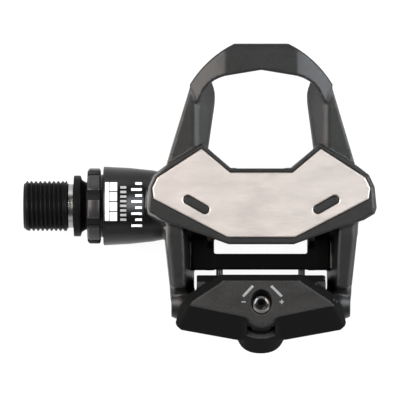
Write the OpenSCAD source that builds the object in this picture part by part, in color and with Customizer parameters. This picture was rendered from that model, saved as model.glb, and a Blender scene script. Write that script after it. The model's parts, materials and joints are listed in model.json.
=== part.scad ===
// Clipless road pedal, right-hand side, built as the real assembly.
// Frame: the origin is where the spindle's axis meets the crank face. +X runs out along the spindle,
// away from the crank, +Y runs forward to the hoop and +Z runs up to the shoe. Millimetres.

/* [Spindle] */
// Distance from the crank face to the pedal's centre line
q_factor = 53; // [52.5:0.1:53.5]
// Major diameter of the crank thread, 9/16 inch
thread_d = 14.29; // [14.2:0.01:14.3]
// Length from the crank face to the thread's end
thread_l = 14.2; // [12:0.1:16]
// Diameter of the flange that seats on the crank
flange_d = 17.3; // [16.8:0.1:17.6]
// Hex key size of the socket in the thread's end
spindle_key = 8; // [6:1:8]

/* [Platform] */
// Width of the steel contact plate
plate_w = 61.4; // [60.8:0.1:61.8]
// Height of the contact plate's top above the spindle axis
plate_z = 10.5; // [10.4:0.05:10.7]
// Thickness of the contact plate
plate_t = 1; // [0.9:0.05:1.1]

/* [Body] */
// Distance from the spindle axis to the front of the hoop
hoop_y = 45.7; // [45.3:0.1:46.2]
// Height of the hoop's crossbar above the spindle axis
hoop_z = 12.6; // [12.2:0.1:13]
// Diameter of the axle housing at its mouth
housing_d = 22.4; // [22:0.1:23]
// Number of wrench notches round the retaining nut
nut_notches = 8; // [6:1:10]

/* [Claw] */
// Furthest the claw opens, in degrees
claw_travel = 18; // [12:1:18]
// Diameter of the hinge pin
pin_d = 4; // [3.8:0.1:4]
// Diameter of the spring wire
wire_d = 2; // [1.8:0.1:2]
// Whole turns in each spring
coil_turns = 3; // [3:1:3]
// Lean of the tension screw from the vertical, in degrees
screw_lean = 24; // [23.5:0.5:24.5]
// Hex key size of the tension screw
screw_key = 3; // [2.5:0.5:3]

/* [Hidden] */
$fn = 48;
gap = 0.02;          // between pieces that are fixed together
run = 0.05;          // radial clearance of pieces that turn on each other
body_grey = [0.13, 0.13, 0.135];
steel = [0.75, 0.75, 0.76];
plate_steel = [0.80, 0.76, 0.72];
oxide_black = [0.06, 0.06, 0.065];

// Spindle and bearing stations along X
relief_l = 2;                // groove between the thread and the flange
relief_r = 6.2;
mouth_x = 8.4;               // inboard face of the axle housing
end_x = q_factor + 27.4;     // outboard end of the axle housing
neck_r = 6.7;                // where the seal runs
nut_x = 3.9;                 // inboard face of the retaining nut
nut_l = 3.7;
nut_r = 10.7;
notch_turn = 17.5;           // how far its first notch stands from the top
notch_w = 3;
notch_depth = 1;
needle_x = 16;               // inboard end of the needle bearing
needle_l = 10;
needle_r = 0.75;
needle_count = 22;
journal_r = 6;               // the needles run on this
cup_r = 8;                   // outer radius of both bearings
ball_x = q_factor + 9;       // inboard face of the first ball bearing
ball_race_l = 5;
ball_r = 1.19;
ball_pitch_r = 6;
ball_count = 9;
ball_seat_r = 4;
stub_r = 3.5;                // threaded end that takes the lock nut
stub_x = ball_x + 2*ball_race_l;

// Claw stations
pivot_y = -27.8;
pivot_z = -1.5;
boss_r = 4.7;                // hinge eye at the end of each rail
rail_in = 18.9;              // inner face of the rails at the bottom
rail_out = 25.1;             // outer face of the rails at the hinge
claw_half = 18.3;            // half width of the claw between the rails
coil_r = 4;                  // mean radius of the spring coils
leg_out = 11.7;              // outer leg, under the cross-member
leg_in = leg_out - coil_turns*(wire_d + 0.25);
bar_z = pivot_z - coil_r + wire_d/2 + run;   // underside of the cross-member, which the legs press on
head_y = -27.3;              // centre of the tension screw's head
head_z = 13;
screw_r = 2;
screw_head_r = 2.7;
screw_seat = 2.6;            // depth of the head below head_z, along the screw
screw_l = 19;
carrier_drop = 12.4;         // start of the tension nut along the screw

// ---------- helpers ----------

// Points of the arc from a to b that bulges to the left of a-b by sag
function arc_between(a, b, sag, n = 8) =
    let (c = norm(b - a), u = (b - a)/c, v = [-u[1], u[0]], s = abs(sag), r = c*c/(8*s) + s/2)
    [for (i = [0:n]) let (t = (i/n - 0.5)*c) (a + b)/2 + u*t + v*sign(sag)*(sqrt(r*r - t*t) - r + s)];

// A closed outline from its right half
function both_sides(half) = concat(half, [for (i = [len(half) - 1:-1:0]) [-half[i][0], half[i][1]]]);

// Turns the children's Z axis to +X and moves them to station x
module along_x(x) { translate([x, 0, 0]) rotate([0, 90, 0]) children(); }

// A shape turned about the spindle axis, from points of [radius, x]
module turned(points) { along_x(0) rotate_extrude() polygon(points); }

// A tube about the spindle axis
module tube_x(x, l, ro, ri) { turned([[ri, x], [ro, x], [ro, x + l], [ri, x + l]]); }

// Extrudes a 2D shape drawn in Y and Z, w wide, about the pedal's centre line
module from_side(w) { rotate([90, 0, 90]) linear_extrude(w, center = true) children(); }

module centred() { translate([q_factor, 0, 0]) children(); }
module pair() { children(); mirror([1, 0, 0]) children(); }
module tall(z0, z1) { translate([0, 0, z0]) linear_extrude(z1 - z0) children(); }

// Frame of the tension screw: origin at its head, +Z up along its axis
module on_screw() { translate([0, head_y, head_z]) rotate([-screw_lean, 0, 0]) children(); }

// A cylinder along X about the claw's hinge, from x0 to x1
module on_hinge(r, x0, x1) {
    translate([x0, pivot_y, pivot_z]) rotate([0, 90, 0]) cylinder(r = r, h = x1 - x0);
}

module hex_x(x, l, af) { along_x(x) cylinder(d = af/cos(30), h = l, $fn = 6); }

// ---------- spindle and bearings ----------

module spindle() {
    color(oxide_black) difference() {
        turned([[0, -thread_l], [thread_d/2 - 0.8, -thread_l], [thread_d/2, -thread_l + 0.8],
                [thread_d/2, -relief_l], [relief_r, -relief_l + 0.6], [relief_r, 0], [flange_d/2, 0], [flange_d/2, 1.9],
                [7.4, 2.3], [neck_r, 3.4], [neck_r, 12], [journal_r, 13], [journal_r, 28],
                [5, 34], [5, ball_x], [ball_seat_r, ball_x], [ball_seat_r, stub_x],
                [stub_r, stub_x], [stub_r, stub_x + 3.8], [0, stub_x + 3.8]]);
        hex_x(-thread_l - 1, 9, spindle_key);
        along_x(-thread_l - 1) cylinder(r1 = 5.6, r2 = 4.1, h = 1.9);
    }
}

// The raceway groove of one ball bearing, cut from both of its rings
module groove(x) { along_x(x + ball_race_l/2) rotate_extrude() translate([ball_pitch_r, 0]) circle(ball_r + run); }

module inner_races() {
    color(steel) for (i = [0, 1]) let (x = ball_x + i*ball_race_l) difference() {
        tube_x(x + gap, ball_race_l - 2*gap, 5.15, ball_seat_r + gap);
        groove(x);
    }
}

module outer_races() {
    color(steel) for (i = [0, 1]) let (x = ball_x + i*ball_race_l) difference() {
        tube_x(x + gap, ball_race_l - 2*gap, cup_r - gap, 6.85);
        groove(x);
        for (s = [x - 1, x + ball_race_l - 0.5]) tube_x(s, 1.5, 7.3, 5);
    }
}

module bearing_shields() {
    color(steel) for (i = [0, 1], s = [0.08, ball_race_l - 0.42])
        tube_x(ball_x + i*ball_race_l + s, 0.34, 7.3 - gap, 5.25);
}

module around_spindle(n, r) { for (i = [0:n - 1]) rotate([i*360/n, 0, 0]) translate([0, 0, r]) children(); }

module bearing_balls() {
    color(steel) for (i = [0, 1]) translate([ball_x + (i + 0.5)*ball_race_l, 0, 0])
        around_spindle(ball_count, ball_pitch_r) sphere(ball_r);
}

module ball_cages() {
    color([0.6, 0.45, 0.25]) for (i = [0, 1]) let (x = ball_x + (i + 0.5)*ball_race_l) difference() {
        tube_x(x - 1.4, 2.8, 6.45, 5.55);
        translate([x, 0, 0]) around_spindle(ball_count, ball_pitch_r) sphere(ball_r + run);
    }
}

module needle_shell() {
    ri = journal_r + 2*needle_r + 2*run;
    x1 = needle_x + needle_l;
    color(steel) turned([[6.5, needle_x], [cup_r - gap, needle_x], [cup_r - gap, x1], [6.5, x1],
        [6.5, x1 - 0.6], [ri, x1 - 0.6], [ri, needle_x + 0.6], [6.5, needle_x + 0.6]]);
}

module needle_rollers() {
    color(steel) around_spindle(needle_count, journal_r + needle_r + run)
        along_x(needle_x + 1.2) cylinder(r = needle_r, h = needle_l - 2.4);
}

module needle_cage() {
    color([0.6, 0.45, 0.25]) difference() {
        tube_x(needle_x + 0.7, needle_l - 1.4, 7.2, 6.4);
        around_spindle(needle_count, journal_r + needle_r + run)
            along_x(needle_x + 1.15) cylinder(r = needle_r + run, h = needle_l - 2.3);
    }
}

module spacer_sleeve() {
    color(steel) tube_x(needle_x + needle_l + gap, ball_x - needle_x - needle_l - 2*gap, cup_r - gap, 7);
}

module tab_washer() { color(steel) tube_x(stub_x + gap, 0.6, 5.2, stub_r + gap); }

module spindle_locknut() {
    color(steel) difference() {
        hex_x(stub_x + 0.65, 2.9, 10);
        along_x(stub_x) cylinder(r = stub_r + gap, h = 5);
    }
}

module retaining_nut() {
    color(body_grey) difference() {
        union() {
            turned([[0, nut_x], [nut_r - 0.6, nut_x], [nut_r, nut_x + 0.6], [nut_r, nut_x + nut_l - 0.3],
                    [nut_r - 0.3, nut_x + nut_l], [0, nut_x + nut_l]]);
            tube_x(nut_x + nut_l - 0.1, mouth_x - nut_x - nut_l + 0.1 - gap, 8.9, 7);
            tube_x(mouth_x - 0.1, needle_x - mouth_x + 0.1 - gap, 8.5 - gap, 7);
        }
        along_x(3) cylinder(r = 7.1, h = 14);
        along_x(3) cylinder(r = 8, h = 3.5);
        for (i = [1:nut_notches]) rotate([i*360/nut_notches - notch_turn, 0, 0])
            translate([nut_x - 1, -notch_w/2, nut_r - notch_depth]) cube([nut_l + 1, notch_w, 2]);
    }
}

module lip_seal() {
    color([0.05, 0.05, 0.05]) turned([[neck_r + run, 3.9], [7.5, 3.7], [8 - gap, 4.1], [8 - gap, 6.4], [neck_r + run, 6.4]]);
}

// ---------- body ----------

module rails_plan() {
    polygon(both_sides(concat(arc_between([7.4, hoop_y], [20.2, 34.2], 1.2),
        [[27.1, 11.2], [27.9, 2], [27.6, -8], [26.1, -21], [rail_out, pivot_y]])));
}

// The opening that the cleat's nose drops into
module hoop_opening() {
    polygon(both_sides(concat([[0, 38]], arc_between([9, 35.9], [12.6, 31.2], 0.9, 5), [[14.9, 16.2], [8.6, 10.6]])));
}

// Side view of the rails and the hoop, in Y and Z
module rails_side() {
    polygon(concat(arc_between([hoop_y, 7.4], [41, hoop_z], -1.2, 5),
        [[36, hoop_z], [28, 10.9], [18, 9], [11, 8.3], [-8, 7.6], [-23.6, 5.2], [-25, 3.6], [pivot_y, 2.4],
         [pivot_y, -5.6], [-18, -7.4], [8, -7.6], [17, -3.2], [28, 1.6], [37, 4.6], [44, 5.6]]));
}

// Contact plate outline
module plate_plan(e = 0) {
    polygon(both_sides([[8.8 + e/2, 9.4 + e], [16.8, 16.1 + 1.3*e], [plate_w/2 - 1.4 + e, 8 + e],
                        [plate_w/2 + e, 5.1], [plate_w/2 - 0.4 + e, 2 - e], [9.5 + e/2, -8.8 - e]]));
}

// Outline of the moulded platform under the plate
module platform_plan() {
    polygon(both_sides([[8.6, 10.6], [16.4, 17.6], [27.1, 11.2], [30.4, 8.7], [32, 5.4], [32.7, -0.6],
                        [32, -2.3], [29, -4], [22.3, -5.9], [8.2, -10.9]]));
}

// The two slots that the plate is staked through
module stake_slots(extra) {
    pair() translate([18.3, 0.4]) rotate(30) {
        square([5.5, 2.6 + 2*extra], center = true);
        for (s = [-1, 1]) translate([s*2.75, 0]) circle(1.3 + extra);
    }
}

module contact_plate() {
    color(plate_steel) centred() tall(plate_z - plate_t, plate_z) difference() {
        plate_plan();
        stake_slots(0);
    }
}

// The space between the rails, wider at the top
module between_rails() {
    translate([0, 10.6, 0]) rotate([90, 0, 0]) linear_extrude(60)
        polygon(both_sides([[rail_in, -20], [rail_in, -3], [22.3, 9], [22.3, 20]]));
}

module rails() {
    difference() {
        intersection() {
            tall(-12, 20) rails_plan();
            from_side(70) rails_side();
        }
        between_rails();
        tall(-12, 20) hoop_opening();
        // the hoop's inner edges fall away towards the opening
        pair() translate([13.75, 24.5, 4.6]) rotate([0, 0, 8.7]) rotate([90, 0, 0])
            linear_extrude(19, center = true) polygon([[-2, 0], [0, 0], [4.6, 7.5], [-2, 7.5]]);
    }
}

module axle_housing() {
    translate([-q_factor, 0, 0]) turned([[0, mouth_x], [housing_d/2, mouth_x], [10, mouth_x + 15], [9.3, mouth_x + 17],
        [9.3, end_x - 2.5], [7.6, end_x], [0, end_x]]);
}

// Cross-member that the spring legs press on, with a floor and a web at each end
module cross_member() {
    translate([-19.6, -18.2, bar_z]) cube([39.2, 4.6, 5.6]);
    pair() translate([14, -14.6, bar_z]) cube([5.6, 9, 3.2]);
    pair() translate([13.8, 0, 0]) from_side(1.6) polygon([[-18, bar_z], [-6.5, bar_z], [-6.5, 6], [-10, 6], [-16, 1.5], [-18, 1]]);
}

module hinge_eyes() { pair() on_hinge(boss_r, rail_in, rail_out); }

// Ribs that tie the housing to the rails and the hoop
module under_ribs() {
    pair() translate([12, 0, 0]) from_side(1.8) polygon([[4, -6.5], [8, -6.2], [10.9, 0], [10.9, 7], [4, 7]]);
}

module pedal_body() {
    color(body_grey) centred() difference() {
        union() {
            rails();
            tall(5.2, plate_z - plate_t + 0.4) platform_plan();
            axle_housing();
            cross_member();
            hinge_eyes();
            under_ribs();
        }
        tall(plate_z - plate_t - gap, 20) difference() {
            plate_plan(0.12);
            stake_slots(-0.12);
        }
        tall(plate_z - 0.35, 20) stake_slots(0.1);
        pair() on_hinge(pin_d/2 + gap, rail_in - 1, rail_out + 1);
        translate([-q_factor, 0, 0]) {
            along_x(mouth_x - 1) cylinder(r = 8.5, h = needle_x - mouth_x + 1);
            along_x(mouth_x) cylinder(r = cup_r, h = stub_x - mouth_x);
            along_x(mouth_x) cylinder(r = 6.8, h = stub_x + 4.6 - mouth_x);
        }
    }
}

module hinge_pin() {
    color(steel) centred() on_hinge(pin_d/2, -rail_out + 0.4, rail_out - 0.4);
}

// ---------- claw ----------

module claw_top_plan() {
    polygon(both_sides([[11.6, -18.9], [12.6, -19.8], [20.8, -25.2], [22.4, -28], [23.4, -33.1], [23.4, -45]]));
}

module claw_rear_plan() {
    polygon(both_sides([[claw_half, -25], [claw_half, -33.1], [24.2, -33.1], [23.9, -34], [22.6, -35.2], [7, -38]]));
}

// Side view of the claw, in Y and Z: lip, top, rear slope, foot
module claw_side() {
    polygon([[-18.9, 12.4], [-18.9, 13.2], [-21.2, 15.2], [-29.8, 13.3], [-37.6, 1], [-37.6, -4.6], [-35.6, -7.4],
             [-24, -7.4], [-20.6, -4.6], [-19.6, -2], [-19.6, 5], [-21.2, 7], [-21.2, 11.6]]);
}

// The flanks of the claw lean in above the rails
module claw_flanks() {
    rotate([90, 0, 0]) linear_extrude(60) polygon(both_sides([[24.2, -20], [24.2, 1], [20.4, 13.6], [19, 20]]));
}

module claw_solid() {
    intersection() {
        from_side(42.2) claw_side();
        union() {
            tall(5.6, 20) claw_top_plan();
            tall(-9, 9) translate([-claw_half, -33.2]) square([2*claw_half, 13.7]);
        }
        claw_flanks();
    }
    intersection() {
        from_side(48.6) claw_side();
        tall(-9, 20) claw_rear_plan();
        claw_flanks();
    }
}

// Rounded boss round the tension screw, which stands out behind as the nose
module claw_boss() {
    intersection() {
        on_screw() translate([0, 0, -24]) cylinder(r = 6.4, h = 30);
        tall(-5, 13.9) translate([-8, -46]) square([16, 26]);
    }
}

// What the springs, their legs and the tension nut need inside
module claw_hollow() {
    on_hinge(coil_r + wire_d/2 + 0.4, leg_in - 1.4, leg_out + 1.5);
    on_hinge(coil_r + wire_d/2 + 0.4, -leg_out - 1.5, -leg_in + 1.4);
    pair() translate([leg_in - 1.4, pivot_y - 5.2, -9]) cube([leg_out - leg_in + 2.9, 14.5, 7]);
    on_screw() translate([0, 0, -26]) cylinder(r = 4.9, h = 26 - screw_seat - 2.4);
    translate([-6.4, -37.9, -9]) cube([12.8, 5.6, 9.6]);
}

module rear_claw() {
    color(body_grey) centred() difference() {
        union() { claw_solid(); claw_boss(); }
        claw_hollow();
        on_hinge(pin_d/2 + run, -claw_half - 1, claw_half + 1);
        on_hinge(2.9, -leg_in, leg_in);
        on_screw() translate([0, 0, -screw_seat]) cylinder(r = screw_head_r + 0.15, h = 10);
        on_screw() translate([0, 0, -10]) cylinder(r = screw_r + run, h = 12);
        // tension window in the back of the nose
        on_screw() translate([-3.2, -8, -9]) cube([6.4, 5, 4.8]);
    }
}

// Points of one spring's wire: outer leg, coils, inner leg, seen from the outer side
coil_steps = 20;
function spring_path() = concat(
    [[leg_out, -14.4, pivot_z - coil_r], [leg_out, -20, pivot_z - coil_r]],
    [for (i = [0:coil_turns*coil_steps]) let (a = i*360/coil_steps)
        [leg_out - (leg_out - leg_in)*i/(coil_turns*coil_steps), pivot_y - coil_r*sin(a), pivot_z - coil_r*cos(a)]],
    [[leg_in, -32, pivot_z - coil_r], [leg_in, -35.6, pivot_z - coil_r]]);

// A round wire swept along points that turn about X
module wire(path, d, sides = 8) {
    n = len(path);
    function tangent(i) = let (v = path[min(i + 1, n - 1)] - path[max(i - 1, 0)]) v/norm(v);
    function ring(i) = let (t = tangent(i), s = cross(t, [1, 0, 0]), u = s/norm(s), w = cross(u, t))
        [for (k = [0:sides - 1]) path[i] + d/2*(cos(k*360/sides)*u + sin(k*360/sides)*w)];
    polyhedron(points = [for (i = [0:n - 1]) each ring(i)],
        faces = concat([[for (k = [sides - 1:-1:0]) k]],
            [for (i = [0:n - 2], k = [0:sides - 1]) let (a = i*sides + k, b = i*sides + (k + 1)%sides) [a, b, b + sides, a + sides]],
            [[for (k = [0:sides - 1]) (n - 1)*sides + k]]));
}

module spring_right() { color(steel) centred() wire(spring_path(), wire_d); }
module spring_left() { color(steel) centred() mirror([1, 0, 0]) wire(spring_path(), wire_d); }

module spring_sleeves() {
    color([0.85, 0.85, 0.82]) centred() pair() difference() {
        on_hinge(2.8, leg_in - 1.2, leg_out + 1.3);
        on_hinge(pin_d/2 + run, 0, 20);
    }
}

module tension_screw() {
    color(steel) centred() on_screw() difference() {
        union() {
            translate([0, 0, -screw_seat + gap]) cylinder(r = screw_head_r, h = screw_seat - 0.5);
            translate([0, 0, -screw_l]) cylinder(r = screw_r, h = screw_l - 1);
        }
        translate([0, 0, -screw_seat + 0.4]) cylinder(d = screw_key/cos(30), h = 5, $fn = 6);
        translate([0, 0, -5.8]) difference() { cylinder(r = 3, h = 0.6); cylinder(r = 1.5, h = 0.6); }
    }
}

module screw_clip() {
    color(steel) centred() on_screw() translate([0, 0, -5.75]) difference() {
        cylinder(r = 3.4, h = 0.5);
        cylinder(r = 1.5 + gap, h = 2, center = true);
        translate([-1.3, 0, -1]) cube([2.6, 5, 3]);
    }
}

// Tension nut: a block on the screw whose wings press the springs' inner legs, with a pointer behind
module tension_nut() {
    color(body_grey) centred() difference() {
        union() {
            intersection() {
                on_screw() translate([-3.2, -3.5, -24]) cube([6.4, 6.5, 24 - carrier_drop]);
                tall(bar_z, 20) translate([-10, -45]) square([20, 30]);
            }
            translate([-6, -36.2, bar_z]) cube([12, 2.9, 3.6]);
            on_screw() translate([-1.5, -4.6, -15]) cube([3, 1.1, 9.7]);
        }
        on_screw() translate([0, 0, -26]) cylinder(r = screw_r + run, h = 26);
    }
}

spindle();
inner_races();
tab_washer();
spindle_locknut();
pedal_body();
contact_plate();
retaining_nut();
lip_seal();
needle_shell();
spacer_sleeve();
outer_races();
bearing_shields();
hinge_pin();
needle_rollers();
needle_cage();
bearing_balls();
ball_cages();
rear_claw();
spring_left();
spring_right();
spring_sleeves();
tension_screw();
screw_clip();
tension_nut();
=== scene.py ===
"""Looks of a clipless road pedal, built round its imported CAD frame.

The shape functions work in millimetres: x from the pedal's centre plane, y forward of the spindle's axis and
z above it. Most pieces are mirrored about that plane, so they are drawn in a, the size of x."""
import json
import math

import bmesh
import bpy
import numpy as np
import openvdb
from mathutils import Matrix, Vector


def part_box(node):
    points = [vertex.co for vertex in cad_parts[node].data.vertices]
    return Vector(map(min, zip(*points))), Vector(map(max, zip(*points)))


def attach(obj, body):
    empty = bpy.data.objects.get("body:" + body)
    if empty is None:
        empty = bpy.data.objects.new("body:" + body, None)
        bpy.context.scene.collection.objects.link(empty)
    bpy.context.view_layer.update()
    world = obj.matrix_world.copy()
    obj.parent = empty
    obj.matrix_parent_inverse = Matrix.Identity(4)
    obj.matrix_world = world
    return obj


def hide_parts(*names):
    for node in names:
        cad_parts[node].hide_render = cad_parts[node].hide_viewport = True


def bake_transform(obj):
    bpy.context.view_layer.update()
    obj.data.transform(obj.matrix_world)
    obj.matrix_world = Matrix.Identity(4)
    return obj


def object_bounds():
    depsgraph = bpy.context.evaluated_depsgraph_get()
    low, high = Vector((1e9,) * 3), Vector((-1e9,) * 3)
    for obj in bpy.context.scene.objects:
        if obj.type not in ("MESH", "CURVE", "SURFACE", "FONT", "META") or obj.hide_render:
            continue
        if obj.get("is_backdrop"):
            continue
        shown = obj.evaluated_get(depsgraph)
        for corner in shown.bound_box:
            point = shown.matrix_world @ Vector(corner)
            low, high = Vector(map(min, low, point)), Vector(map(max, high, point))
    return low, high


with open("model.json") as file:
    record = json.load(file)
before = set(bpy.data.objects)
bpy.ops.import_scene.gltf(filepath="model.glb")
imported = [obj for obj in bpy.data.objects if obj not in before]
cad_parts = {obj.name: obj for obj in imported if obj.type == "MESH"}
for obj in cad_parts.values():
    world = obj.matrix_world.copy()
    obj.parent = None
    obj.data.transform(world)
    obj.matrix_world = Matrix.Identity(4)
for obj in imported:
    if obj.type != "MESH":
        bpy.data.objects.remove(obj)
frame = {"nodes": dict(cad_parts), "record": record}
CAD_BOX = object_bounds()

MM = 0.001


def node_box(node):
    """Lowest and highest corners of a CAD node in millimetres."""
    low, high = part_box(node)
    return np.array(low) / MM, np.array(high) / MM


def centred_box(node):
    """The same corners, with x counted from the pedal's centre plane."""
    low, high = node_box(node)
    return low - (CENTRE_X, 0, 0), high - (CENTRE_X, 0, 0)


PLATE_LOW, PLATE_HIGH = node_box("contact_plate")
NUT_LOW, NUT_HIGH = node_box("retaining_nut")
CENTRE_X = (PLATE_LOW[0] + PLATE_HIGH[0]) / 2  # the centre plane, from the crank face
PLATE_UNDER, PLATE_TOP = PLATE_LOW[2], PLATE_HIGH[2]
BODY_END = node_box("pedal_body")[1][0]
CARRIER_LOW = node_box("tension_nut")[0][2]  # underside of the tension nut
SPINDLE_END = node_box("spindle")[0][0]
FLOOR_Z = CAD_BOX[0][2] / MM - 0.2  # just clear of the lowest point

PAST = -8  # half outlines run this far past the centre plane
RUN = 0.05  # clearance of pieces that turn on each other
PIVOT = (-27.8, -1.5)  # the claw's hinge, (y, z)
PIN_R = 2.0
SCREW_R = 2.0

# ---------------------------------------------------------------- distance fields


def polygon(u, v, points):
    """Signed distance to a closed outline, negative inside."""
    nearest = inside = None
    for (ax, ay), (bx, by) in zip(points, points[1:] + points[:1]):
        ex, ey = bx - ax, by - ay
        wx, wy = u - ax, v - ay
        t = np.clip((wx * ex + wy * ey) / (ex * ex + ey * ey), 0, 1)
        gap = (wx - ex * t) ** 2 + (wy - ey * t) ** 2
        above, below, left = wy >= 0, v < by, ex * wy > ey * wx
        flip = (above & below & left) | ~(above | below | left)
        nearest = gap if nearest is None else np.minimum(nearest, gap)
        inside = flip if inside is None else inside ^ flip
    return np.where(inside, -1, 1) * np.sqrt(nearest)


def both(a, b, k=0.0):
    """Intersection, with an edge rounded over about k."""
    if not k:
        return np.maximum(a, b)
    h = np.clip(0.5 - 0.5 * (b - a) / k, 0, 1)
    return b + (a - b) * h + k * h * (1 - h)


def either(a, b, k=0.0):
    """Union, with a fillet of about k."""
    return -both(-a, -b, k)


def less(a, b, k=0.0):
    """a with b taken out of it."""
    return both(a, -b, k)


def chamfered(a, b, c):
    """Intersection with its edges cut at 45 degrees, c from each face."""
    return both(both(a, b), (a + b + c) / math.sqrt(2), 0.25)


def slab(v, low, high):
    """Distance outside the span from low to high."""
    return np.abs(v - (low + high) / 2) - (high - low) / 2


def plane(x, y, z, p, q, r):
    """Distance above the plane through p, q and r, which run anticlockwise seen from above it."""
    p, q, r = (np.array(v, float) for v in (p, q, r))
    n = np.cross(q - p, r - p)
    n /= np.linalg.norm(n)
    return (x - p[0]) * n[0] + (y - p[1]) * n[1] + (z - p[2]) * n[2]


def block(x, y, z, xs, ys, zs, r=0.0):
    """A box with its edges rounded to r."""
    d = [slab(v, *span) + r for v, span in ((x, xs), (y, ys), (z, zs))]
    outside = np.sqrt(sum(np.maximum(v, 0) ** 2 for v in d))
    return outside + np.minimum(np.maximum(np.maximum(d[0], d[1]), d[2]), 0) - r


def rod_x(x, y, z, centre, radius, xs, r=0.0):
    """A cylinder along X about (y, z) = centre, with its ends' edges rounded to r."""
    d0 = np.hypot(y - centre[0], z - centre[1]) - radius + r
    d1 = slab(x, *xs) + r
    return np.hypot(np.maximum(d0, 0), np.maximum(d1, 0)) + np.minimum(np.maximum(d0, d1), 0) - r


def arc(a, b, sag, n=8):
    """Points from a to b that bulge to the left of a-b by sag."""
    a, b = np.array(a, float), np.array(b, float)
    c = np.hypot(*(b - a))
    u = (b - a) / c
    side = np.array((-u[1], u[0])) * math.copysign(1, sag)
    s = abs(sag)
    r = c * c / (8 * s) + s / 2
    steps = (np.linspace(0, 1, n + 1) - 0.5) * c
    return [tuple((a + b) / 2 + u * t + side * (math.sqrt(r * r - t * t) - r + s)) for t in steps]


# ---------------------------------------------------------------- meshes


def mesh_object(name, points, faces):
    """A smooth-shaded object from points in pedal millimetres, its faces turned outwards."""
    points = (np.asarray(points, float) + (CENTRE_X, 0, 0)) * MM
    mesh = bpy.data.meshes.new(name)
    mesh.from_pydata(points.tolist(), [], [list(map(int, f)) for f in faces])
    mesh.validate()
    bm = bmesh.new()
    bm.from_mesh(mesh)
    bmesh.ops.recalc_face_normals(bm, faces=bm.faces)
    if bm.calc_volume(signed=True) < 0:
        bmesh.ops.reverse_faces(bm, faces=bm.faces)
    bm.to_mesh(mesh)
    bm.free()
    mesh.shade_smooth()
    obj = bpy.data.objects.new(name, mesh)
    bpy.context.scene.collection.objects.link(obj)
    return obj


def surface(name, shape, low, high, step):
    """A mesh of the zero level of shape(x, y, z), its points then moved onto that level in small moves."""
    low = np.array(low) - 2 * step
    high = np.array(high) + 2 * step
    axes = [np.arange(l, h, step) for l, h in zip(low, high)]
    field = np.empty([len(a) for a in axes], np.float32)
    layers = 24  # worked out at a time
    for i in range(0, len(axes[0]), layers):
        x = axes[0][i : i + layers, None, None]
        field[i : i + layers] = shape(x, axes[1][None, :, None], axes[2][None, None, :])
    grid = openvdb.FloatGrid(float(field.max()))
    grid.copyFromArray(field)
    points, quads = grid.convertToQuads()
    points = points * step + low
    for _ in range(4):
        d = shape(*points.T)
        e = step * 0.1
        slope = np.stack([shape(*(points + e * np.eye(3)[k]).T) - d for k in range(3)], 1) / e
        size = np.maximum((slope**2).sum(1, keepdims=True), 0.25)
        points = points - np.clip(d[:, None] * slope / size, -step / 2, step / 2)
    return mesh_object(name, points, quads)


def about_spindle(s, u, v):
    """A place s along the spindle from the crank face, u forward of its axis and v above it."""
    return s - CENTRE_X, u, v


def about_hinge(s, u, v):
    """A place s along the claw's hinge from the centre plane, u forward of its axis and v above it."""
    return s, PIVOT[0] + u, PIVOT[1] + v


def about_screw(s, u, v):
    """A place s up the tension screw, u across it and v forward of it."""
    return (u, SCREW_TOP[0] + v * math.cos(SCREW_LEAN) + s * math.sin(SCREW_LEAN),
            SCREW_TOP[1] - v * math.sin(SCREW_LEAN) + s * math.cos(SCREW_LEAN))


def lathe(name, rings, place, tube=False, n=96):
    """A turned piece from rings of (station, radius), where a radius may be a function of the angle."""
    turn = np.arange(n) * 2 * math.pi / n
    points = []
    for station, radius in rings:
        r = radius(turn) if callable(radius) else np.full(n, float(radius))
        points.append(np.stack(np.broadcast_arrays(*place(station, r * np.cos(turn), r * np.sin(turn))), 1))
    count = len(rings)
    faces = []
    for i in range(count if tube else count - 1):
        a, b = i * n, (i + 1) % count * n
        faces += [(a + k, a + (k + 1) % n, b + (k + 1) % n, b + k) for k in range(n)]
    if not tube:
        points.append(np.array([points[0].mean(0), points[-1].mean(0)]))
        for ring, tip in ((0, count * n), ((count - 1) * n, count * n + 1)):
            faces += [(ring + k, ring + (k + 1) % n, tip) for k in range(n)]
    obj = mesh_object(name, np.concatenate(points), faces)
    obj.data.set_sharp_from_angle(angle=math.radians(32))
    return obj


def eased(points, r=0.2, closed=False):
    """A turned piece's profile with its corners rounded to about r."""
    out = []
    count = len(points)
    for i, p in enumerate(points):
        if not closed and i in (0, count - 1):
            out.append(tuple(p))
            continue
        p = np.array(p, float)
        legs = []
        for q in (points[i - 1], points[(i + 1) % count]):
            d = np.array(q, float) - p
            legs.append(d / np.linalg.norm(d) * min(r, 0.45 * np.linalg.norm(d)))
        out += [tuple(p + legs[0] * (1 - t) ** 2 + legs[1] * t**2) for t in (0, 0.25, 0.5, 0.75, 1)]
    return out


def hexagon(across, turn=0.0):
    """Radius of a hexagon as a function of the angle, with a flat facing turn degrees."""
    sixth = math.pi / 3
    return lambda t: across / 2 / np.cos((t - math.radians(turn) + sixth / 2) % sixth - sixth / 2)


def thread(low, high, major, depth, pitch):
    """Rings of a right-hand screw thread, shallower in its first and last millimetre."""
    rings = []
    for s in np.arange(low, high, pitch / 10):
        cut = depth * min(1, s - low + 0.25, high - s + 0.05)

        def radius(t, s=s, cut=cut):
            tooth = abs(2 * ((s / pitch - t / (2 * math.pi)) % 1) - 1)
            return major - cut * np.clip(1.3 * tooth - 0.15, 0, 1)

        rings.append((s, radius))
    return rings


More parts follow.
